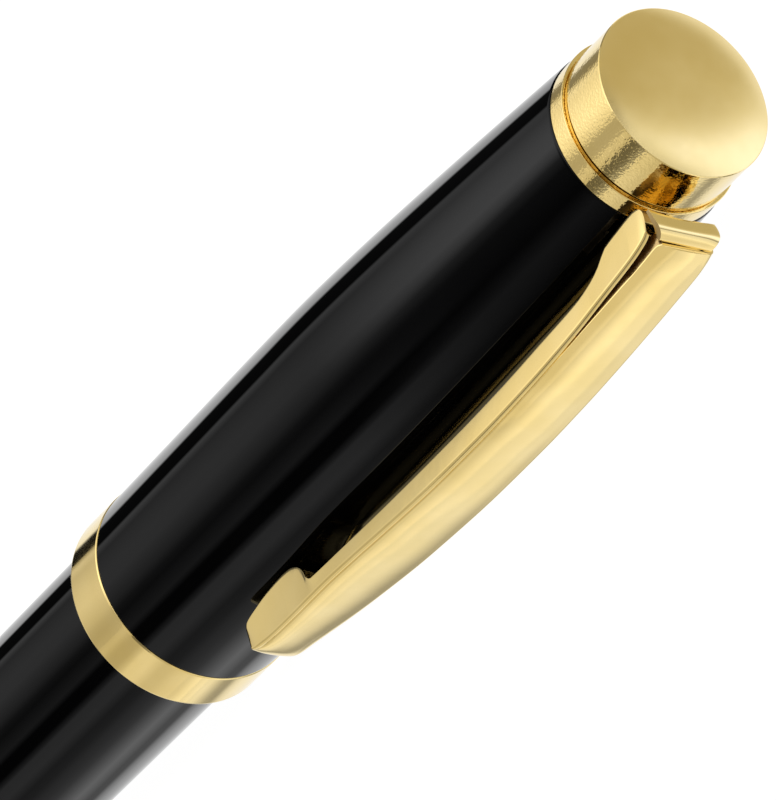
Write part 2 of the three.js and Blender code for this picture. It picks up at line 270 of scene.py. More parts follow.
def fibre_material():
    """Ink-soaked fibre: strands along the pen."""
    material, tree, shader, place_node = new_material("ink_fibre_look")
    strands = noise(tree, place_node, 0.12, 3.0, stretch=(0.06, 1, 1))
    tint(tree, strands, shader, (0.004, 0.008, 0.05), (0.02, 0.035, 0.16))
    gloss(tree, strands, shader, 0.75, 0.95)
    bump(tree, strands, shader, 0.02)
    return material


GOLD_DARK = (0.87, 0.69, 0.31)
GOLD_LIGHT = (0.91, 0.735, 0.36)

LOOKS = {
    "gold_plate": metal("gold_plate_look", GOLD_DARK, GOLD_LIGHT, (0.075, 0.12), 0.9, 0.0012),
    "gold_satin": metal("gold_satin_look", GOLD_DARK, GOLD_LIGHT, (0.2, 0.26), 0.5, 0.0008),
    "gold_rolled": metal("gold_rolled_look", GOLD_DARK, GOLD_LIGHT, (0.03, 0.06), 0.15, 0.009, 0.0005),
    # Painted shade: a darker, duller gold for the groove's walls and the end wall's near end, where the clip
    # is in shade.
    "gold_painted_shade": metal(
        "gold_recess_look", (0.46, 0.33, 0.16), (0.58, 0.43, 0.22), (0.25, 0.4), 0.2, 0.003,
    ),
    "black_lacquer": lacquer_material(),
    "plain_brass": metal(
        "plain_brass_look", (0.55, 0.38, 0.16), (0.66, 0.47, 0.21), (0.25, 0.4), 0.25, 0.002,
    ),
    "steel": metal("steel_look", (0.5, 0.5, 0.51), (0.6, 0.6, 0.61), (0.15, 0.28), 0.25, 0.001),
    "liner_plastic": plastic(
        "liner_plastic_look", (0.012, 0.012, 0.013), (0.022, 0.022, 0.024), (0.35, 0.5), 0.002,
    ),
    "refill_plastic": plastic(
        "refill_plastic_look", (0.66, 0.66, 0.63), (0.74, 0.74, 0.71), (0.3, 0.45), 0.002,
    ),
    "ink_fibre": fibre_material(),
    "ball_carbide": metal("ball_carbide_look", (0.3, 0.3, 0.31), (0.4, 0.4, 0.41), (0.08, 0.16), 0.1, 0.0002),
}


# ---- mesh helpers ----------------------------------------------------------------------------------------

SHARP_ANGLE = math.radians(38)
FLAT_ANGLE = math.radians(12)
LONGEST_SHARE = 0.4
HOLD = 1.2


def finish_piece(name, shape, look, body, nodes):
    """Turns a bmesh into a piece that stands for CAD nodes and rides on their body."""
    bmesh.ops.recalc_face_normals(shape, faces=shape.faces)
    mesh = bpy.data.meshes.new(name)
    shape.to_mesh(mesh)
    shape.free()
    mesh.shade_smooth()
    mesh.set_sharp_from_angle(angle=SHARP_ANGLE)
    mesh.materials.append(LOOKS[look])
    piece = bpy.data.objects.new(name, mesh)
    bpy.context.scene.collection.objects.link(piece)
    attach(piece, body)
    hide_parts(*nodes)
    return piece


def apply_modifiers(piece):
    """Bakes a piece's modifiers into its mesh."""
    bpy.context.view_layer.update()
    evaluated = piece.evaluated_get(bpy.context.evaluated_depsgraph_get())
    mesh = bpy.data.meshes.new_from_object(evaluated)
    piece.modifiers.clear()
    piece.data = mesh


def bezier(start, pull, push, end, steps):
    """Points along a cubic curve, both ends included."""
    points = []
    corners = (start, pull, push, end)
    for step in range(steps + 1):
        t = step / steps
        weights = ((1 - t) ** 3, 3 * t * (1 - t) ** 2, 3 * t * t * (1 - t), t ** 3)
        points.append(tuple(sum(w * corner[k] for w, corner in zip(weights, corners)) for k in (0, 1)))
    return points


def rounded(outline, closed, fillet=0.06, steps=5):
    """The outline with every corner rounded: a corner's own third number, or else fillet, is its radius.

    Bends under FLAT_ANGLE stay as they are, and a rounding takes at most LONGEST_SHARE of an edge. A point
    just past each of its ends, HOLD times as far from the corner, keeps the faces beside it flat in shading.
    """
    count = len(outline)
    points = []
    for i, corner in enumerate(outline):
        here = Vector(corner[:2])
        if not closed and i in (0, count - 1):
            points.append(here)
            continue
        before = Vector(outline[i - 1][:2]) - here
        after = Vector(outline[(i + 1) % count][:2]) - here
        bend = math.pi - before.angle(after)
        radius = corner[2] if len(corner) > 2 else fillet
        if bend < FLAT_ANGLE or radius <= 0:
            points.append(here)
            continue
        longest = LONGEST_SHARE * min(before.length, after.length)
        reach = min(radius * math.tan(bend / 2), longest)
        start = here + before.normalized() * reach
        end = here + after.normalized() * reach
        points.append(here + before.normalized() * reach * HOLD)
        for step in range(steps + 1):
            t = step / steps
            points.append(start * (1 - t) ** 2 + here * 2 * t * (1 - t) + end * t * t)
        points.append(here + after.normalized() * reach * HOLD)
    return points


def turned(name, look, body, outline, segments=128, fillet=0.06, ripple=None):
    """A piece turned about the pen's axis. ripple, if given, changes a point's radius by depth and angle."""
    on_axis = outline[0][0] == 0
    profile = rounded(outline, closed=not on_axis, fillet=fillet)
    shape = bmesh.new()
    rings = []
    for radius, depth in profile:
        if radius < 1e-6:
            rings.append([shape.verts.new(place(depth, 0, 0))])
            continue
        ring = []
        for k in range(segments):
            angle = 2 * math.pi * k / segments
            reach = ripple(radius, depth, angle) if ripple else radius
            ring.append(shape.verts.new(place(depth, reach * math.cos(angle), reach * math.sin(angle))))
        rings.append(ring)
    pairs = list(zip(rings, rings[1:]))
    if not on_axis:
        pairs.append((rings[-1], rings[0]))
    for one, two in pairs:
        for k in range(segments):
            after = (k + 1) % segments
            corners = [one[k % len(one)], one[after % len(one)], two[after % len(two)], two[k % len(two)]]
            face = list(dict.fromkeys(corners))
            shape.faces.new(face)
    return finish_piece(name, shape, look, body, [name])


def loft(shape, loops):
    """A closed solid through loops of points that all have the same count."""
    rings = [[shape.verts.new(point) for point in loop] for loop in loops]
    count = len(rings[0])
    for one, two in zip(rings, rings[1:]):
        for k in range(count):
            after = (k + 1) % count
            shape.faces.new([one[k], one[after], two[after], two[k]])
    shape.faces.new(rings[0])
    shape.faces.new(list(reversed(rings[-1])))


def block(shape, depths, outs, half):
    """A plain block between two depths and two distances out, that reaches half to either side."""
    corners = [
        shape.verts.new(place(depth, out, side)) for depth in depths for out in outs for side in (-half, half)
    ]
    bmesh.ops.convex_hull(shape, input=corners)


def sleeve(name, look, body, inner, fillet=0.06):
    """A ring or tube with square ends, at its CAD node's place."""
    outer = radius_of(name)
    top = top_of(name)
    end = end_of(name)
    return turned(name, look, body, [(outer, end), (outer, top), (inner, top), (inner, end)], fillet=fillet)


# ---- cap -------------------------------------------------------------------------------------------------

GAP = 0.05
STUD_RADIUS = radius_of("finial_stud")
CAP_TOP = 4.62
CAP_TOP_RADIUS = 5.3
CAP_BORE_TOP = 4.7
CAP_BORE = 5.7
BELLY_DEPTH = 33
BELLY_RADIUS = radius_of("cap_tube")
SPIGOT_RADIUS = 5.98
BAND_TOP = top_of("cap_band")
BAND_END = end_of("cap_band")
BAND_RADIUS = radius_of("cap_band")
SLOT_HALF_WIDTH = 1.7
SLOT_END = 6.1


def make_finial():
    """The domed button, rolled on its side and satin on its dome."""
    radius = radius_of("finial")
    end = end_of("finial")
    side_end = 3.25
    neck = radius - 0.12
    bore = STUD_RADIUS + GAP
    bore_top = 0.9
    edge = 0.06
    top = -DOME_HEIGHT
    dome = bezier((radius - 0.05, 0.02), (0.66 * radius, top), (0.3 * radius, top), (0, top), 28)
    piece = turned("finial", "gold_rolled", "cap", [
        (0, bore_top), (bore, bore_top), (bore, end), (neck, end), (neck, side_end), (radius, side_end, 0.05),
        (radius, edge, 0.02), *dome,
    ])
    piece.data.materials.append(LOOKS["gold_satin"])
    dome_start = 0.04
    for face in piece.data.polygons:
        if face.normal.x > 0.5 and face.center.x > EDGE.x - dome_start * MM:
            face.material_index = 1


def cap_outside():
    """The cap swells from its top to the belly, then eases in to the band."""
    lip = [(6.355, BAND_TOP - GAP, 0.05)]
    lower = bezier(lip[0], (6.41, 46), (BELLY_RADIUS, 39), (BELLY_RADIUS, BELLY_DEPTH), 24)
    top = (CAP_TOP_RADIUS, CAP_TOP, 0.16)
    upper = bezier((BELLY_RADIUS, BELLY_DEPTH), (BELLY_RADIUS, 25), (5.85, 14.1), top, 32)
    return lip + lower[1:] + upper[1:-1] + [top]


def make_cap_tube():
    """The bulged tube, with the clip's slot cut in its top edge."""
    spigot_end = end_of("cap_tube")
    outline = [(SPIGOT_RADIUS, spigot_end), (SPIGOT_RADIUS, BAND_TOP - GAP, 0)] + cap_outside()
    outline += [(CAP_BORE_TOP, CAP_TOP), (CAP_BORE_TOP, 10.2), (CAP_BORE, 26), (CAP_BORE, spigot_end)]
    tube = turned("cap_tube", "black_lacquer", "cap", outline, segments=192)
    past = 1
    cutter_shape = bmesh.new()
    depths = (CAP_TOP - past, SLOT_END)
    block(cutter_shape, depths, (CAP_BORE_TOP - past, CAP_TOP_RADIUS + past), SLOT_HALF_WIDTH)
    mesh = bpy.data.meshes.new("slot_cutter")
    cutter_shape.to_mesh(mesh)
    cutter_shape.free()
    cutter = bpy.data.objects.new("slot_cutter", mesh)
    bpy.context.scene.collection.objects.link(cutter)
    cut = tube.modifiers.new("slot", "BOOLEAN")
    cut.operation = "DIFFERENCE"
    cut.solver = "EXACT"
    cut.object = cutter
    apply_modifiers(tube)
    bpy.data.objects.remove(cutter)


def make_cap_band():
    """The ring on the tube's spigot, turned in over the cap's mouth."""
    mouth = 5.3
    lip_top = 56.25
    outline = [
        (BAND_RADIUS, BAND_END, 0.18), (6.395, BAND_TOP, 0.1), (SPIGOT_RADIUS + GAP, BAND_TOP),
        (SPIGOT_RADIUS + GAP, lip_top), (mouth, lip_top), (mouth, BAND_END),
    ]
    turned("cap_band", "gold_plate", "cap", outline, segments=160)


def make_inner_cap():
    """The liner that closes round the tip and widens to grip the section."""
    outer = radius_of("inner_cap")
    top = top_of("inner_cap")
    end = end_of("inner_cap")
    hollow_top = 11.2
    turned("inner_cap", "liner_plastic", "cap", [
        (0, hollow_top), (3.9, hollow_top, 0.3), (3.9, 22), (5.22, 50), (5.22, end, 0.12), (outer, end),
        (outer, 26.2), (CAP_BORE_TOP - 0.1, top), (0, top),
    ])


def make_cap():
    """Everything that comes off with the cap, apart from the clip."""
    make_finial()
    turned("finial_stud", "steel", "cap", [
        (0, end_of("finial_stud")), (STUD_RADIUS, end_of("finial_stud"), 0.3),
        (STUD_RADIUS, top_of("finial_stud"), 0.3), (0, top_of("finial_stud")),
    ])
    bore = STUD_RADIUS + 0.1
    sleeve("finial_ring", "gold_rolled", "cap", bore, fillet=0.045)
    sleeve("clip_spacer", "plain_brass", "cap", bore)
    sleeve("cap_bush", "plain_brass", "cap", bore)
    make_cap_tube()
    make_cap_band()
    make_inner_cap()


# ---- clip ------------------------------------------------------------------------------------------------

CLIP_HALF_WIDTH = 2.0
CLIP_WALL = 0.7
CLIP_END = end_of("clip")
CROWN = 0.12


def through(points):
    """A smooth function of depth through (depth, value) points, that never overshoots them."""
    xs = [p[0] for p in points]
    ys = [p[1] for p in points]
    slopes = [(ys[i + 1] - ys[i]) / (xs[i + 1] - xs[i]) for i in range(len(xs) - 1)]
    tangents = [slopes[0]]
    for left, right in zip(slopes, slopes[1:]):
        tangents.append(0 if left * right <= 0 else 2 * left * right / (left + right))
    tangents.append(slopes[-1])

    def value(x):
        if x <= xs[0]:
            return ys[0]
        if x >= xs[-1]:
            return ys[-1]
        i = max(k for k in range(len(xs) - 1) if xs[k] <= x)
        width = xs[i + 1] - xs[i]
        t = (x - xs[i]) / width
        return (
            ys[i] * (1 + 2 * t) * (1 - t) ** 2
            + ys[i + 1] * t * t * (3 - 2 * t)
            + width * tangents[i] * t * (1 - t) ** 2
            - width * tangents[i + 1] * t * t * (1 - t)
        )

    return value


HEAD_START = 2.24
TIP = CLIP_END - 0.1

# The clip's outline from the side: the panel's ridge, and the flanks' edge that faces the cap, which comes
# down towards the cap at the head and again at the foot.
ridge = through([
    (HEAD_START, 8.24), (3, 8.44), (4, 8.62), (6, 8.87), (8, 9.1), (11.5, 9.46), (15.5, 9.78), (20, 10.0),
    (25, 10.07), (31.5, 9.88), (37.5, 9.52), (43.5, 9.04), (45.6, 8.8), (TIP - 0.4, 8.6), (TIP - 0.1, 8.38),
    (TIP, 8.12),
])
inner_edge = through([
    (HEAD_START, 6.9), (2.29, 6.5), (2.42, 6.15), (2.7, 5.9), (3.2, 5.76), (4, 5.82), (4.8, 5.95),
    (5.6, 6.07), (6.2, 6.2), (6.65, 6.6), (7.2, 7.0), (8.2, 7.4), (9.5, 7.68), (13.2, 7.97), (17.5, 8.28),
    (22, 8.46), (30, 8.56), (35, 8.54), (38.3, 8.45), (38.75, 8.15), (39.2, 7.4), (39.8, 6.95), (40.55, 6.69),
    (41.5, 6.62), (42.9, 6.68), (44.9, 6.93), (46, 7.12), (TIP - 0.3, 7.3), (TIP - 0.08, 7.5), (TIP, 7.8),
])
# Its outline from above.
half_width = through([
    (HEAD_START, 1.98), (3, 2.0), (33, 2.0), (36, 1.97), (39, 1.91), (42, 1.81), (44, 1.72), (45.5, 1.64),
    (TIP - 0.7, 1.56), (TIP - 0.42, 1.44), (TIP - 0.2, 1.24), (TIP - 0.07, 1.0), (TIP - 0.015, 0.72),
    (TIP, 0.45),
])
# The groove between the panel and the near flank, deep and wide at the head and a fine line after that.
groove_depth = through([
    (HEAD_START, 1.3), (5, 1.2), (8.5, 0.6), (10.2, 0.2), (14, 0.08), (30, 0.08), (44, 0.07),
    (TIP - 0.6, 0.015), (TIP, 0.01),
])
groove_width = through([
    (HEAD_START, 0.6), (2.4, 0.4), (2.7, 0.32), (4, 0.25), (7, 0.14), (10.4, 0.05), (TIP, 0.03),
])
# How far the near flank's top lies below the panel, how wide it is, and how far in from the flank's edge.
flank_drop = through([
    (HEAD_START, 0.9), (2.35, 0.6), (2.7, 0.42), (4, 0.3), (7, 0.2), (10, 0.08), (14, 0.05), (44, 0.05),
    (TIP - 0.6, 0.02), (TIP, 0.01),
])
flank_lip = through([(HEAD_START, 0.3), (36, 0.3), (43, 0.28), (TIP - 0.3, 0.24), (TIP, 0.08)])
flank_lean = through([
    (33, 0), (36.5, 0.07), (39, 0.2), (41.5, 0.35), (44.5, 0.45), (TIP - 0.7, 0.36), (TIP - 0.25, 0.16),
    (TIP, 0.02),
])
# The rounding over which the panel runs into the far flank.
shoulder_size = through([(HEAD_START, 0.3), (4, 0.2), (30, 0.2), (38, 0.3), (44, 0.45), (TIP, 0.2)])
# 0 where the clip is hollow underneath and 1 where its foot is solid.
solid_foot = through([(38.3, 0), (40, 1)])


def panel_half(depth, width):
    """Half the width of the panel on the side with the groove."""
    return width - flank_lip(depth) - groove_width(depth)


def grooved_edge(depth, panel, top_width, scale, height, crest):
    """The groove's walls and the near flank's rounded top, from the panel's edge at crest outward."""
    groove = groove_width(depth)
    valley = crest - min(groove_depth(depth), 0.45 * height)
    flank_top = crest - min(flank_drop(depth), 0.3 * height)
    shoulder = min(0.08 * scale, 0.45 * (crest - valley))
    wall = panel + 0.03
    points = [(panel + 0.02, crest - shoulder), (wall, valley), (wall + 0.7 * groove, valley)]
    rounding = top_width - panel - groove - 0.05
    steps = 6
    for k in range(steps + 1):
        turn = math.pi / 2 * k / steps
        fall = min(rounding, 0.3 * height) * (1 - math.cos(turn))
        points.append((top_width - rounding * (1 - math.sin(turn)), flank_top - fall))
    return points


def smooth_edge(panel, width, bend, height, crest):
    """The far edge, where the panel bends into its flank."""
    steps = 7
    points = []
    for k in range(1, steps + 1):
        turn = math.pi / 2 * k / steps
        points.append((panel + bend * math.sin(turn), crest - bend * (1 - math.cos(turn))))
    points.append((width, crest - bend - 0.1 * height))
    return points


def clip_half(depth, grooved):
    """Half of the clip's cut at that depth as (side, out) points, from the panel's middle to the inside.

    One edge of the panel has a groove between it and its flank, the other one runs into its flank.
    """
    width = half_width(depth)
    scale = width / CLIP_HALF_WIDTH
    top = ridge(depth)
    bottom = min(inner_edge(depth), top - 0.1)
    height = top - bottom
    crown = CROWN * scale
    crest = top - crown
    wall = min(CLIP_WALL, 0.6 * width)
    hollow = max(bottom, bottom + (top - CLIP_WALL - bottom) * (1 - solid_foot(depth)))
    bend = min(shoulder_size(depth), 0.4 * height)
    top_width = width - flank_lean(depth)
    panel = panel_half(depth, top_width) if grooved else width - bend
    steps = 8
    points = [(panel * k / steps, top - crown * (k / steps) ** 2.5) for k in range(steps + 1)]
    if grooved:
        points += grooved_edge(depth, panel, top_width, scale, height, crest)
    else:
        points += smooth_edge(panel, width, bend, height, crest)
    # Points just above the flank's lower edge keep its shading flat.
    support = min(0.2 * height, 0.13)
    slant = (width - points[-1][0]) * support / (points[-1][1] - bottom)
    points.append((width - slant, bottom + support))
    points.append((width, bottom))
    points.append((width - wall, bottom))
    points.append((width - wall, hollow))
    points.append((0, hollow))
    return points


def make_clip_body(shape):
    """The folded panel and its two flanks, from the head's fingers to the rounded tip."""
    head_end = 4.0
    foot_start = 37.5
    head_length = head_end - HEAD_START
    middle_length = foot_start - head_end
    foot_length = TIP - foot_start
    head_steps, middle_steps, foot_steps = 16, 80, 56
    stations = []
    for k in range(head_steps + 1):
        stations.append(HEAD_START + head_length * (1 - math.cos(math.pi / 2 * k / head_steps)))
    for k in range(1, middle_steps + 1):
        stations.append(head_end + middle_length * k / middle_steps)
    for k in range(1, foot_steps + 1):
        stations.append(foot_start + foot_length * math.sin(math.pi / 2 * k / foot_steps))
    loops = []
    for depth in stations:
        near = [(-side, out) for side, out in clip_half(depth, grooved=True)]
        far = clip_half(depth, grooved=False)
        full = near + list(reversed(far[1:-1]))
        loops.append([place(depth, out, side) for side, out in full])
    loft(shape, loops)


# The end wall's front, how far out its edge by the finial and its edge by the panel lie, and half its width
# at each of them.
WALL_FACE = 1.55
WALL_TOP = 6.74
WALL_LOW = 7.95
WALL_HALF_WIDTH = 2.1
WALL_LOW_HALF_WIDTH = 1.34


def make_end_wall(shape):
    """The tab folded down over the head, facing the finial, with a slit between it and the panel."""
    lean = 0.05
    flat_end = 7.34
    low = (2.12, WALL_LOW)
    bend = bezier((WALL_FACE, flat_end), (WALL_FACE - 0.02, 7.66), (1.8, WALL_LOW - 0.02), low, 10)
    face = [(WALL_FACE + lean * (1 - k / 4), WALL_TOP + (flat_end - WALL_TOP) * k / 4) for k in range(4)]
    inside = [(2.17, WALL_LOW - 0.02), (2.17, WALL_LOW - 0.15), (1.92, 7.4), (1.84, WALL_TOP)]
    lip_start = 1.9
    steps = 32
    loops = []
    for k in range(steps + 1):
        share = 0.5 - 0.5 * math.cos(math.pi * k / steps)
        loop = []
        for depth, out in face + bend + inside:
            slant = (out - WALL_TOP) / (WALL_LOW - WALL_TOP)
            near = -WALL_HALF_WIDTH + (WALL_HALF_WIDTH - WALL_LOW_HALF_WIDTH) * slant
            far = WALL_HALF_WIDTH - 0.25 * ((out - 7.3) / 0.6) ** 2
            side = near + (far - near) * share
            arc = 0.04 * side * side * (1 - slant)
            closing = 0.18 * share ** 2 if depth > lip_start else 0
            rounding = 0.12 * max(0, (side - 1.3) / 0.8) ** 2 * (1 - 0.8 * slant) if depth < lip_start else 0
            loop.append(place(depth + closing + rounding, out - arc, side))
        loops.append(loop)
    loft(shape, loops)


def shade_recess(clip):
    """Paints shade into the groove's walls and the wall's near end with a darker, duller gold."""
    clip.data.materials.append(LOOKS["gold_painted_shade"])
    deep_end = 10.4
    rim = 0.14
    for face in clip.data.polygons:
        offset = face.center - EDGE
        depth = -offset.x / MM
        out = offset.dot(OUT) / MM
        side = offset.dot(ACROSS) / MM
        if HEAD_START < depth < deep_end:
            panel = panel_half(depth, half_width(depth))
            in_groove = panel - 0.01 < -side < panel + groove_width(depth) + 0.08
            if in_groove and out < ridge(depth) - CROWN - rim:
                face.material_index = 1
        elif WALL_FACE + 0.08 < depth < HEAD_START - 0.06 and face.normal.dot(ACROSS) < -0.6:
            face.material_index = 1


def make_clip():
    """The clip's body and end wall, the root that goes in through the slot, and what joins wall and body."""
    shape = bmesh.new()
    make_clip_body(shape)
    make_end_wall(shape)
    block(shape, (4.95, 5.75), (3, 8.1), 1.4)
    block(shape, (1.8, 3.0), (7.1, 7.7), 1.15)
    clip = finish_piece("clip", shape, "gold_plate", "clip", ["clip"])
    bevel = clip.modifiers.new("edges", "BEVEL")
    bevel.limit_method = "ANGLE"
    bevel.angle_limit = math.radians(42)
    bevel.width = 0.08 * MM
    bevel.segments = 3
    weighted = clip.modifiers.new("normals", "WEIGHTED_NORMAL")
    weighted.keep_sharp = False
    apply_modifiers(clip)
    shade_recess(clip)


# ---- writing section -------------------------------------------------------------------------------------

GRIP_END = end_of("grip_sleeve")
CONE_BACK = 27.5
CORE_FRONT = 36.6
THREAD_PITCH = 1.0
THREAD_TOP = 57.2
THREAD_END = end_of("section_core")
THREAD_DEPTH = 0.22


def thread(radius, depth, angle):
    """A rounded thread cut into the core behind the collar."""
    runout = THREAD_END - 0.2
    if radius < 4 or not THREAD_TOP <= depth <= runout:
        return radius
    ease = min(1, (depth - THREAD_TOP) / THREAD_PITCH, (runout - depth) / THREAD_PITCH)
    turn = depth / THREAD_PITCH + angle / (2 * math.pi)
    return radius - THREAD_DEPTH * ease * (0.5 - 0.5 * math.cos(2 * math.pi * turn))


def make_section():
    """The writing section: nose cone, grip, core with the thread, and collar."""
    cone_end = 32
    cone = bezier((3.45, 27.2), (3.1, 24.6), (2.3, 21.2), (1.78, 19.95), 14)
    turned("nose_cone", "gold_plate", "section", [
        (3, cone_end), (3, CONE_BACK), (3.5, CONE_BACK, 0.08), *cone, (1.72, 19.8, 0.08), (1.4, 19.8),
        (1.4, 21.8), (2.45, 24), (2.45, cone_end),
    ])
    turned("grip_sleeve", "black_lacquer", "section", [
        *bezier((4.95, GRIP_END - 0.1), (4.6, 44), (4.0, 35), (3.57, 27.6), 30), (3.52, 27.55, 0.04),
        (3.1, 27.55), (3.1, 36.55), (3.6, 36.55), (3.6, GRIP_END), (4.9, GRIP_END, 0.08),
    ], segments=160)
    core_radius = radius_of("section_core")
    rows = round((THREAD_END - THREAD_TOP) / 0.09)
    last = THREAD_END - 0.1
    threaded = [(core_radius, last - (last - THREAD_TOP) * k / rows) for k in range(rows + 1)]
    turned("section_core", "plain_brass", "section", [
        (core_radius - 0.15, THREAD_END, 0), *threaded, (core_radius, 56.8), (4.3, 56.8), (4.3, 51.65),
        (3.55, 51.65), (3.55, CORE_FRONT), (2.45, CORE_FRONT), (2.45, 38.95), (3.12, 38.95),
        (3.12, THREAD_END),
    ], ripple=thread)
    sleeve("section_collar", "gold_plate", "section", 4.36, fillet=0.12)


# ---- refill ----------------------------------------------------------------------------------------------

TIP_FRONT = 16.5
TIP_BACK = 24
BALL_RADIUS = radius_of("writing_ball")
REFILL_RADIUS = radius_of("refill_tube")


def make_refill():
    """The refill with its ball and its ink."""
    turned("refill_tip", "steel", "refill", [
        (0, TIP_BACK), (1.15, TIP_BACK), (1.15, 20.4, 0.3), (0.65, 18.6, 0.5), (0.52, 16.75, 0.03),
        (0.4, 16.75, 0.01), (0.4, 17.25), (0, 17.25),
    ], segments=64, fillet=0.03)
    steps = 24
    arc = []
    for k in range(steps + 1):
        turn = math.pi * k / steps
        arc.append((BALL_RADIUS * math.sin(turn), TIP_FRONT + BALL_RADIUS + BALL_RADIUS * math.cos(turn)))
    arc[0] = (0, arc[0][1])
    arc[-1] = (0, arc[-1][1])
    turned("writing_ball", "ball_carbide", "refill", arc, segments=48, fillet=0)
    turned("refill_nose", "refill_plastic", "refill", [
        (2.6, 43), (2.6, 39.05), (2.3, 39.05), (2.3, 25.2, 0.6), (1.6, 22.3, 0.2), (1.2, 22.3), (1.2, 24.05),
        (0.7, 24.05), (0.7, 43),
    ], segments=96)
    crimped = REFILL_RADIUS - 0.12
    turned("refill_tube", "steel", "refill", [
        (REFILL_RADIUS, 125, 0.15), (REFILL_RADIUS, 42.4, 0.3), (crimped, 42.1, 0.3), (crimped, 41.7, 0.3),
        (REFILL_RADIUS, 41.4, 0.3), (REFILL_RADIUS, 39.1, 0.15), (2.65, 39.1), (2.65, 125),
    ])
    turned("refill_plug", "refill_plastic", "refill", [
        (0, 126.5), (2.7, 126.5, 0.2), (2.9, 125.05), (2.6, 125.05), (2.6, 122.5), (0, 122.5),
    ], segments=96)
    for rod in ("ink_reservoir", "ink_feed"):
        radius = radius_of(rod)
        turned(rod, "ink_fibre", "refill", [
            (0, end_of(rod)), (radius, end_of(rod)), (radius, top_of(rod)), (0, top_of(rod)),
        ], segments=64)


# ---- spring ----------------------------------------------------------------------------------------------

SPRING_TURNS = 4.5
WIRE_RADIUS = 0.22


def make_spring():
    """The spring behind the refill, which shortens as the refill gives way, and the cup it stands in."""
    top = top_of("refill_spring") + WIRE_RADIUS
    end = end_of("refill_spring") - WIRE_RADIUS
    coil = radius_of("refill_spring") - WIRE_RADIUS
    steps = 320
    around = 14
    loops = []
    for step in range(steps + 1):
        t = step / steps
        angle = 2 * math.pi * SPRING_TURNS * t
        outward = Vector((0, math.cos(angle), math.sin(angle)))
        centre = Vector((top + (end - top) * t, 0, 0)) + outward * coil
        loop = []
        for k in range(around):
            turn = 2 * math.pi * k / around
            along = Vector((WIRE_RADIUS * math.sin(turn), 0, 0))
            loop.append(place(*(centre + outward * WIRE_RADIUS * math.cos(turn) + along)))
        loops.append(loop)
    shape = bmesh.new()
    loft(shape, loops)
    spring = finish_piece("refill_spring", shape, "steel", "tail_spring", ["refill_spring"])
    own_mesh(spring)
    turned("spring_cup", "refill_plastic", "tail_spring", [
        (0, end_of("spring_cup")), (2.8, end_of("spring_cup"), 0.2), (2.8, top_of("spring_cup")),
        (2.4, top_of("spring_cup")), (2.4, 131.25), (0, 131.25),
    ], segments=96)


# ---- barrel ----------------------------------------------------------------------------------------------

BARREL_START = top_of("barrel_tube")
BARREL_END = end_of("barrel_tube")
BARREL_RADIUS = radius_of("barrel_tube")
TAPER_START = 75
TAIL_SPIGOT = 3.5


def make_barrel():
    """The barrel tube, its insert, and the ring and cap at its tail."""
    taper = bezier((4.5, BARREL_END), (4.95, 114), (BARREL_RADIUS, 98), (BARREL_RADIUS, TAPER_START), 40)
    turned("barrel_tube", "black_lacquer", "barrel", [
        *taper, (BARREL_RADIUS, BARREL_START, 0.12), (5.12, BARREL_START), (5.12, TAPER_START), (3.6, 126),
        (3.6, BARREL_END),
    ], segments=192)
    sleeve("barrel_insert", "plain_brass", "barrel", 4.55)
    sleeve("tail_ring", "gold_plate", "barrel", TAIL_SPIGOT + GAP, fillet=0.15)
    top = BARREL_END + 1.2
    end = end_of("tail_cap")
    turned("tail_cap", "gold_plate", "barrel", [
        (0, end), *bezier((0.9, end), (2.2, end), (3.2, end - 0.1), (3.72, end - 0.35), 12),
        (3.95, end - 0.8, 0.5), (4.45, top, 0.1), (TAIL_SPIGOT, top), (TAIL_SPIGOT, 127.5), (2.95, 127.5),
        (2.95, 132.45), (0, 132.45),
    ])


# ---- studio ----------------------------------------------------------------------------------------------

# What the lacquer reflects, as (angle about the pen, brightness): 0 is behind it, 90 above it, 180 in front
# of it and -90 below it. White sheets lie below and behind, and dim softboxes with gaps between hang above.
STUDIO = [
    (-180, 0.31), (-168, 0.33), (-156, 0.15), (-147, 0.17), (-139, 0.26), (-132, 0.3), (-124, 0.38),
    (-116, 0.62), (-109, 0.82), (-101, 1.0), (-86, 0.42), (-78, 0.36), (-71, 0.82), (-62, 1.0), (29, 1.0),
    (33, 0.01), (54, 0.01), (57, 0.28), (67, 0.15), (75, 0.2), (90, 0.29), (102, 0.32), (113, 0.25),
    (121, 0.19), (129, 0.08), (136, 0.05), (152, 0.13), (159, 0.01), (171, 0.01), (177, 0.16),
]
# The same by the cap's top, where a nearer softbox shows above.
STUDIO_HEAD = [
    (-180, 0.12), (-150, 0.02), (-128, 0.03), (-115, 0.8), (-93, 1.0), (-86, 0.42), (-78, 0.36), (-71, 0.82),
    (-62, 1.0), (29, 1.0), (33, 0.02), (54, 0.02), (57, 0.28), (68, 0.35), (90, 0.7), (104, 0.85), (113, 0.6),
    (121, 0.2), (132, 0.06), (160, 0.02),
]
# What the finial's face sees, as (reach of the direction along FRONT_AXIS, brightness), brightest low down.
FRONT_AXIS = (0, 0.564, 0.826)
FRONT_MIDDLE = 0.372
STUDIO_FRONT = [
    (-1, 1.35), (-0.4, 1.3), (-0.33, 1.02), (-0.28, 0.86), (-0.24, 0.76), (-0.2, 0.67), (-0.164, 0.62),
    (-0.109, 0.58), (-0.03, 0.56), (0.13, 0.545), (1, 0.5),
]


WARM_GREEN = 1.2
WARM_BLUE = 1.9


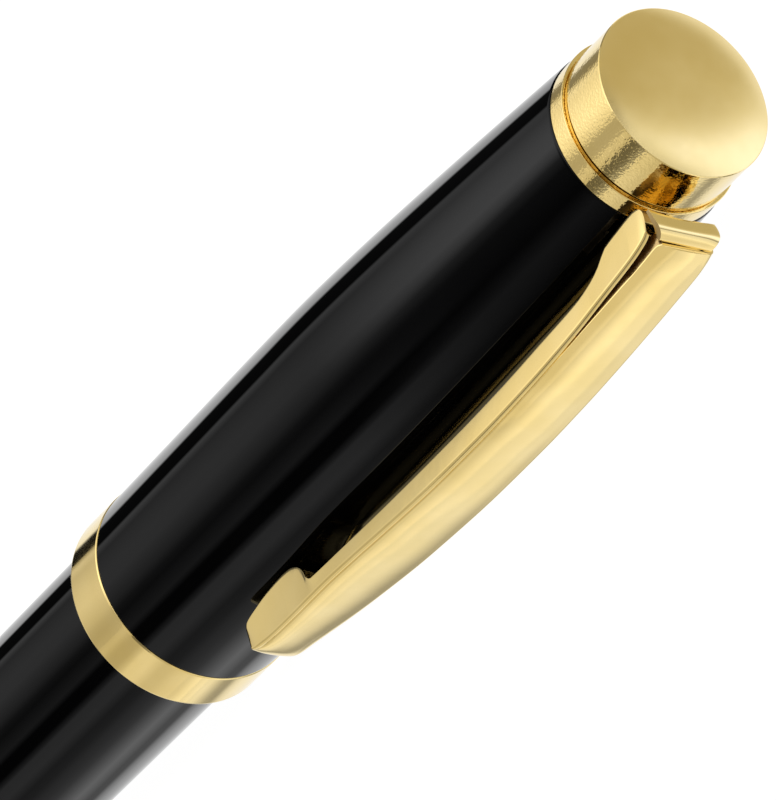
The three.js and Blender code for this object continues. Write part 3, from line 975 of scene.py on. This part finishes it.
def ramp_of(tree, factor, stops, low, high, loops=False, warm=False):
    """A strip of brightness over the range from low to high.

    loops repeats the first stop at the end, and warm makes the dimmer parts yellower.
    """
    ramp = tree.nodes.new("ShaderNodeValToRGB")
    stops = stops + [(high, stops[0][1])] if loops else stops
    elements = ramp.color_ramp.elements
    for value, _ in stops[1:-1]:
        elements.new((value - low) / (high - low))
    for element, (value, brightness) in zip(elements, stops):
        element.position = (value - low) / (high - low)
        green = brightness ** WARM_GREEN if warm else brightness
        blue = brightness ** WARM_BLUE if warm else brightness
        element.color = (brightness, green, blue, 1)
    link(tree, factor, "Result", ramp, "Fac")
    return ramp


def ranged(tree, source, socket, low, high, smooth=False):
    """A value brought from the range low to high to the range 0 to 1."""
    node = tree.nodes.new("ShaderNodeMapRange")
    node.interpolation_type = "SMOOTHSTEP" if smooth else "LINEAR"
    node.inputs["From Min"].default_value = low
    node.inputs["From Max"].default_value = high
    link(tree, source, socket, node, "Value")
    return node


def multiplied(tree, first, *others):
    """The product of several values."""
    product = first
    for other in others:
        node = tree.nodes.new("ShaderNodeMath")
        node.operation = "MULTIPLY"
        tree.links.new(product.outputs[0], node.inputs[0])
        tree.links.new(other.outputs[0], node.inputs[1])
        product = node
    return product


def blended(tree, factor, one, two):
    """One colour turning into another as the factor grows."""
    node = tree.nodes.new("ShaderNodeMix")
    node.data_type = "RGBA"
    tree.links.new(factor.outputs[0], node.inputs["Factor"])
    tree.links.new(one, node.inputs["A"])
    tree.links.new(two, node.inputs["B"])
    return node.outputs["Result"]


def make_world():
    """The studio that the lacquer reflects, with plain white for whatever the camera sees past the floor."""
    world = bpy.data.worlds.new("studio")
    bpy.context.scene.world = world
    world.use_nodes = True
    tree = world.node_tree
    tree.nodes.clear()
    coordinates = tree.nodes.new("ShaderNodeTexCoord")
    split = tree.nodes.new("ShaderNodeSeparateXYZ")
    link(tree, coordinates, "Generated", split, "Vector")
    angle = tree.nodes.new("ShaderNodeMath")
    angle.operation = "ARCTAN2"
    link(tree, split, "Z", angle, 0)
    link(tree, split, "Y", angle, 1)
    about = ranged(tree, angle, "Value", -math.pi, math.pi)
    studio = ramp_of(tree, about, STUDIO, -180, 180, loops=True)
    head = ramp_of(tree, about, STUDIO_HEAD, -180, 180, loops=True)
    reach = tree.nodes.new("ShaderNodeVectorMath")
    reach.operation = "DOT_PRODUCT"
    reach.inputs[1].default_value = FRONT_AXIS
    link(tree, coordinates, "Generated", reach, 0)
    reached = ranged(tree, reach, "Value", FRONT_MIDDLE - 1, FRONT_MIDDLE + 1)
    front = ramp_of(tree, reached, STUDIO_FRONT, -1, 1, warm=True)
    # Reflections off the pen's straight sides run back along it with x near -0.73, and those off the cap's
    # narrowing top less far back. The finial's face reflects what lies ahead of the pen.
    near_head = ranged(tree, split, "X", -0.72, -0.62, smooth=True)
    beside = ranged(tree, split, "Y", 0.15, 0.4, smooth=True)
    below = ranged(tree, split, "Z", 0.45, 0.3, smooth=True)
    ahead = multiplied(tree, ranged(tree, split, "X", 0.1, 0.4, smooth=True), beside, below)
    color = blended(tree, near_head, studio.outputs["Color"], head.outputs["Color"])
    color = blended(tree, ahead, color, front.outputs["Color"])
    light = tree.nodes.new("ShaderNodeBackground")
    tree.links.new(color, light.inputs["Color"])
    white = tree.nodes.new("ShaderNodeBackground")
    white.inputs["Color"].default_value = (1, 1, 1, 1)
    seen = tree.nodes.new("ShaderNodeLightPath")
    mix = tree.nodes.new("ShaderNodeMixShader")
    link(tree, seen, "Is Camera Ray", mix, "Fac")
    link(tree, light, "Background", mix, 1)
    link(tree, white, "Background", mix, 2)
    output = tree.nodes.new("ShaderNodeOutputWorld")
    link(tree, mix, "Shader", output, "Surface")
    bpy.context.scene.view_settings.view_transform = "Standard"


# Warm softboxes for the plated pieces, as (name, angle about the pen and half its spread in degrees, distance
# from the pen, start and end along the pen in metres, brightness). The nearer ones show in the cap's head.
SOFTBOXES = [
    ("softbox_above", 99, 47, 0.6, -4.5, 4.5, 0.44),
    ("softbox_front_high_head", 153, 7, 0.6, -0.6, 4.5, 0.62),
    ("softbox_front_dim_head", 172, 12, 0.6, -0.6, 4.5, 0.14),
    ("softbox_front_high_tail", 164, 18, 0.6, -4.5, -0.6, 0.52),
    ("softbox_front_low", 207, 25, 0.6, -4.5, 4.5, 0.52),
    ("softbox_low", 239, 7, 0.6, -4.5, 4.5, 0.44),
    ("softbox_lowest", 250, 4, 0.6, -4.5, 4.5, 0.2),
    ("softbox_head", 92, 36, 0.3, -0.28, 0.5, 0.32),
    ("softbox_head_back", 44, 11, 0.3, -0.28, 0.5, 0.26),
    ("softbox_head_low", 219, 17, 0.3, -0.22, 0.3, 0.24),
]
SOFTBOX_COLOR = (1, 0.92, 0.7)


def make_softboxes():
    """Softboxes that light every piece but the lacquered ones."""
    plated = bpy.data.collections.new("lit_by_softboxes")
    for piece in list(bpy.context.scene.objects):
        has_look = piece.type == "MESH" and piece.data.materials
        if has_look and piece.data.materials[0] != LOOKS["black_lacquer"]:
            plated.objects.link(piece)
    for name, angle, spread_angle, distance, start, end, brightness in SOFTBOXES:
        width = 2 * distance * math.tan(math.radians(spread_angle))
        data = bpy.data.lights.new(name, "AREA")
        data.shape = "RECTANGLE"
        data.size = end - start
        data.size_y = width
        data.color = SOFTBOX_COLOR
        data.energy = brightness * math.pi * (end - start) * width
        light = bpy.data.objects.new(name, data)
        bpy.context.scene.collection.objects.link(light)
        turn = math.radians(angle)
        away = Vector((0, math.cos(turn), math.sin(turn)))
        facing = Matrix((ALONG, away.cross(ALONG), away)).transposed().to_4x4()
        spot = away * distance + ALONG * (start + end) / 2
        light.matrix_world = Matrix.Translation(spot) @ facing
        light.visible_camera = False
        light.light_linking.receiver_collection = plated


FLOOR_SIZE = 3.0
FLOOR_GAP = 0.0001
FLOOR_GLOW = 1.12
FLOOR_SHADING = 0.12


def make_floor():
    """A plain pale sheet that is lit evenly, with only a faint shading under the pen."""
    shape = bmesh.new()
    bmesh.ops.create_grid(shape, x_segments=8, y_segments=8, size=FLOOR_SIZE)
    mesh = bpy.data.meshes.new("floor")
    shape.to_mesh(mesh)
    shape.free()
    floor = bpy.data.objects.new("floor", mesh)
    bpy.context.scene.collection.objects.link(floor)
    floor.location.z = cad_box[0][2] - FLOOR_GAP
    floor.visible_glossy = False
    floor.visible_shadow = False
    material = bpy.data.materials.new("floor_paper")
    material.use_nodes = True
    tree = material.node_tree
    tree.nodes.clear()
    glow = tree.nodes.new("ShaderNodeEmission")
    glow.inputs["Strength"].default_value = FLOOR_GLOW
    paper = tree.nodes.new("ShaderNodeBsdfDiffuse")
    paper.inputs["Color"].default_value = (0.9, 0.9, 0.9, 1)
    mix = tree.nodes.new("ShaderNodeMixShader")
    mix.inputs["Fac"].default_value = FLOOR_SHADING
    link(tree, glow, "Emission", mix, 1)
    link(tree, paper, "BSDF", mix, 2)
    output = tree.nodes.new("ShaderNodeOutputMaterial")
    link(tree, mix, "Shader", output, "Surface")
    mesh.materials.append(material)


# ---- the scene -------------------------------------------------------------------------------------------

make_camera()
make_cap()
make_clip()
make_section()
make_refill()
make_spring()
make_barrel()
make_world()
make_floor()
make_softboxes()
